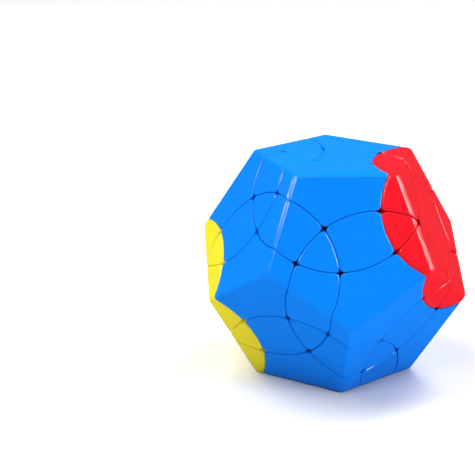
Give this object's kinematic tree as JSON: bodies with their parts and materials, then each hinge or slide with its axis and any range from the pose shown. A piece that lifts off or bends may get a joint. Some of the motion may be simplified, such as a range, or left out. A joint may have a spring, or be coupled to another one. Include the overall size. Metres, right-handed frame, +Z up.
{
  "type": "dodecahedron twisty puzzle",
  "caption": "Dodecahedron twisty puzzle in glossy blue plastic with a red and a yellow pole, cut by curved seams into centre, edge and corner pieces that turn in layers round a core.",
  "frame": {"origin": "centre of the core, where the twelve turning axes meet; it is the middle of the dodecahedron and of its box", "axes": "+Z up, square to the two level faces; the puzzle stands on the lower one. -Y looks at the viewer's front face, and the red pole faces +X, a little forward and up"},
  "size_m": [0.084, 0.0884, 0.0716],
  "materials": {
    "blue_plastic": "glossy moulded ABS, saturated blue, coloured right through",
    "red_plastic": "glossy moulded ABS, bright red, coloured right through",
    "yellow_plastic": "glossy moulded ABS, bright yellow, coloured right through",
    "core_plastic": "black moulded nylon",
    "screw_steel": "zinc-plated steel"
  },
  "bodies": {
    "core_and_still_layers": {"axle_screw_b1": "screw_steel", "axle_screw_b4": "screw_steel", "axle_screw_red": "screw_steel", "blue_centre_a1": "blue_plastic", "blue_centre_a2": "blue_plastic", "blue_centre_a3": "blue_plastic", "blue_centre_a4": "blue_plastic", "blue_centre_a5": "blue_plastic", "blue_centre_and_edge_b3": "blue_plastic", "blue_centre_b2": "blue_plastic", "blue_centre_b5": "blue_plastic", "blue_edge_a1_a2": "blue_plastic", "blue_edge_a1_b5": "blue_plastic", "blue_edge_a2_b2": "blue_plastic", "blue_edge_a3_b3": "blue_plastic", "blue_edge_a4_a5": "blue_plastic", "blue_edge_a5_b5": "blue_plastic", "blue_edge_and_corner_a1_a5": "blue_plastic", "blue_edge_and_corner_a2_a3": "blue_plastic", "blue_edge_and_corner_a3_a4": "blue_plastic", "blue_edge_and_corner_a3_b2": "blue_plastic", "blue_edge_b2_b3": "blue_plastic", "core": "core_plastic", "yellow_centre": "yellow_plastic", "yellow_edge_and_corner_b2": "yellow_plastic", "yellow_edge_b3": "yellow_plastic", "yellow_edge_b5": "yellow_plastic"},
    "red_layer": {"red_centre": "red_plastic", "red_corner_a1_a2": "red_plastic", "red_corner_a1_a5": "red_plastic", "red_corner_a2_a3": "red_plastic", "red_corner_a3_a4": "red_plastic", "red_corner_a4_a5": "red_plastic", "red_edge_a1": "red_plastic", "red_edge_a2": "red_plastic", "red_edge_a3": "red_plastic", "red_edge_a4": "red_plastic", "red_edge_a5": "red_plastic"},
    "left_layer": {"blue_centre_b1": "blue_plastic", "blue_corner_a1_a2_b1": "blue_plastic", "blue_corner_a1_b1_b5": "blue_plastic", "blue_corner_a2_b1_b2": "blue_plastic", "blue_edge_a1_b1": "blue_plastic", "blue_edge_a2_b1": "blue_plastic", "blue_edge_b1_b2": "blue_plastic", "blue_edge_b1_b5": "blue_plastic", "yellow_corner_b1_b2": "yellow_plastic", "yellow_corner_b1_b5": "yellow_plastic", "yellow_edge_b1": "yellow_plastic"},
    "back_layer": {"blue_centre_b4": "blue_plastic", "blue_corner_a4_a5_b4": "blue_plastic", "blue_corner_a4_b3_b4": "blue_plastic", "blue_corner_a5_b4_b5": "blue_plastic", "blue_edge_a4_b4": "blue_plastic", "blue_edge_a5_b4": "blue_plastic", "blue_edge_b3_b4": "blue_plastic", "blue_edge_b4_b5": "blue_plastic", "yellow_corner_b3_b4": "yellow_plastic", "yellow_corner_b4_b5": "yellow_plastic", "yellow_edge_b4": "yellow_plastic"}
  },
  "joints": [
    {"name": "red_layer_turn", "type": "hinge", "parent": "core_and_still_layers", "child": "red_layer", "pos_m": [0, 0, 0], "axis": [0.8507, -0.2764, 0.4472], "continuous": true},
    {"name": "left_layer_turn", "type": "hinge", "parent": "core_and_still_layers", "child": "left_layer", "pos_m": [0, 0, 0], "axis": [-0.7608, -0.6472, 0.0472], "continuous": true},
    {"name": "back_layer_turn", "type": "hinge", "parent": "core_and_still_layers", "child": "back_layer", "pos_m": [0, 0, 0], "axis": [-0.2351, 0.9708, 0.0472], "continuous": true}
  ]
}
